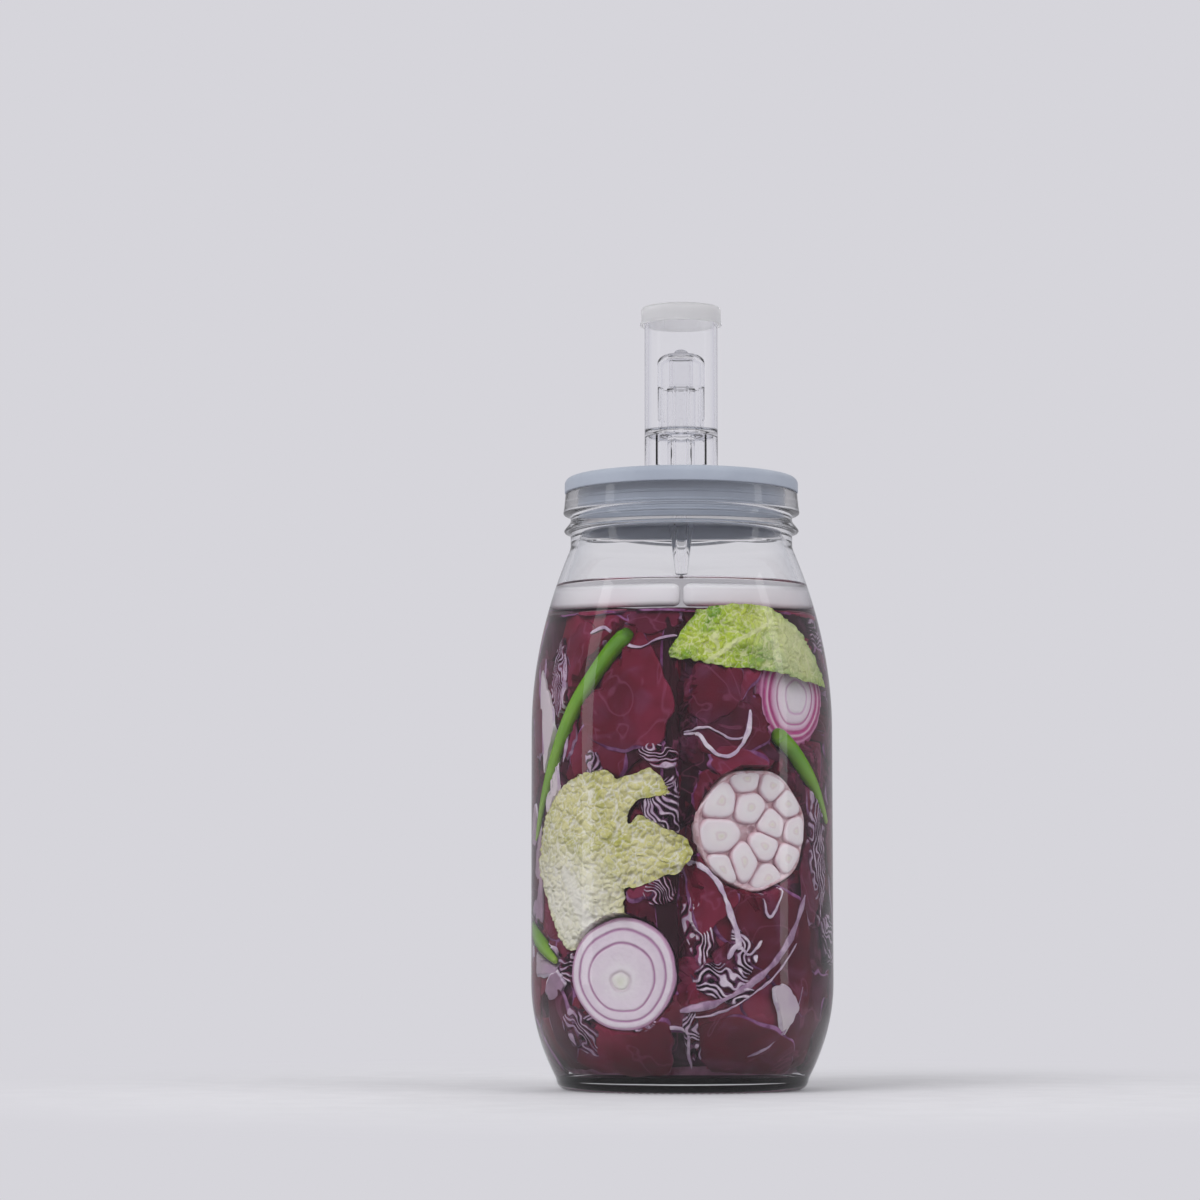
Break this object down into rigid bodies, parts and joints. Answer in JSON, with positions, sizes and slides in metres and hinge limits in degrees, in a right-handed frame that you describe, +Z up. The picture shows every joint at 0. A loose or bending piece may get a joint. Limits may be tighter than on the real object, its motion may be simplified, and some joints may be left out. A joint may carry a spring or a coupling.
{
  "type": "fermentation jar with airlock",
  "caption": "Tall glass jar packed with vegetables under half-moon weights, closed by a silicone plug lid that carries a clear bubbler airlock with a lift-off cap and a loose float.",
  "frame": {"origin": "middle of the base, on the surface that the jar stands on", "axes": "+Z up along the jar's axis, -Y towards the front where the cut onion, garlic and leaves show, +X to the right seen from the front"},
  "size_m": [0.135, 0.135, 0.352],
  "materials": {
    "glass": "clear polished glass",
    "lid_silicone": "matte grey-blue silicone",
    "airlock_clear": "clear glossy plastic",
    "airlock_frosted": "milky translucent plastic",
    "white_ceramic": "smooth white glaze",
    "red_cabbage": "waxy dark red leaves with pale cut edges",
    "savoy_green": "crinkled bright green leaf",
    "savoy_pale": "crinkled pale yellow-green leaf",
    "red_onion": "moist cut onion with purple rings",
    "garlic": "cut garlic bulb with papery skin",
    "green_chilli": "glossy green skin"
  },
  "bodies": {
    "jar": {"glass_jar": "glass", "cabbage_low_left": "red_cabbage", "cabbage_low_right": "red_cabbage", "cabbage_mid_left": "red_cabbage", "cabbage_mid_right": "red_cabbage", "cabbage_top_left": "red_cabbage", "cabbage_top_right": "red_cabbage", "cabbage_back_low": "red_cabbage", "cabbage_back_high": "red_cabbage", "savoy_leaf_top": "savoy_green", "savoy_leaf_mid": "savoy_pale", "onion_half_low": "red_onion", "onion_half_high": "red_onion", "garlic_half": "garlic", "chilli_long": "green_chilli", "chilli_right": "green_chilli", "chilli_low": "green_chilli"},
    "lid": {"silicone_lid": "lid_silicone"},
    "airlock": {"airlock_body": "airlock_clear"},
    "bell": {"airlock_float": "airlock_clear"},
    "cap": {"airlock_cap": "airlock_frosted"},
    "weight_left": {"stone_left": "white_ceramic"},
    "weight_right": {"stone_right": "white_ceramic"}
  },
  "joints": [
    {"name": "lid_lift", "type": "slide", "parent": "jar", "child": "lid", "axis": [0, 0, 1], "range_m": [0, 0.06]},
    {"name": "airlock_pull", "type": "slide", "parent": "lid", "child": "airlock", "axis": [0, 0, 1], "range_m": [0, 0.06]},
    {"name": "float_rise", "type": "slide", "parent": "airlock", "child": "bell", "axis": [0, 0, 1], "range_m": [0, 0.015]},
    {"name": "cap_pull", "type": "slide", "parent": "airlock", "child": "cap", "axis": [0, 0, 1], "range_m": [0, 0.03]},
    {"name": "weight_left_rise", "type": "slide", "parent": "jar", "child": "weight_left", "axis": [0, 0, 1], "range_m": [0, 0.008]},
    {"name": "weight_right_rise", "type": "slide", "parent": "jar", "child": "weight_right", "axis": [0, 0, 1], "range_m": [0, 0.008]}
  ]
}
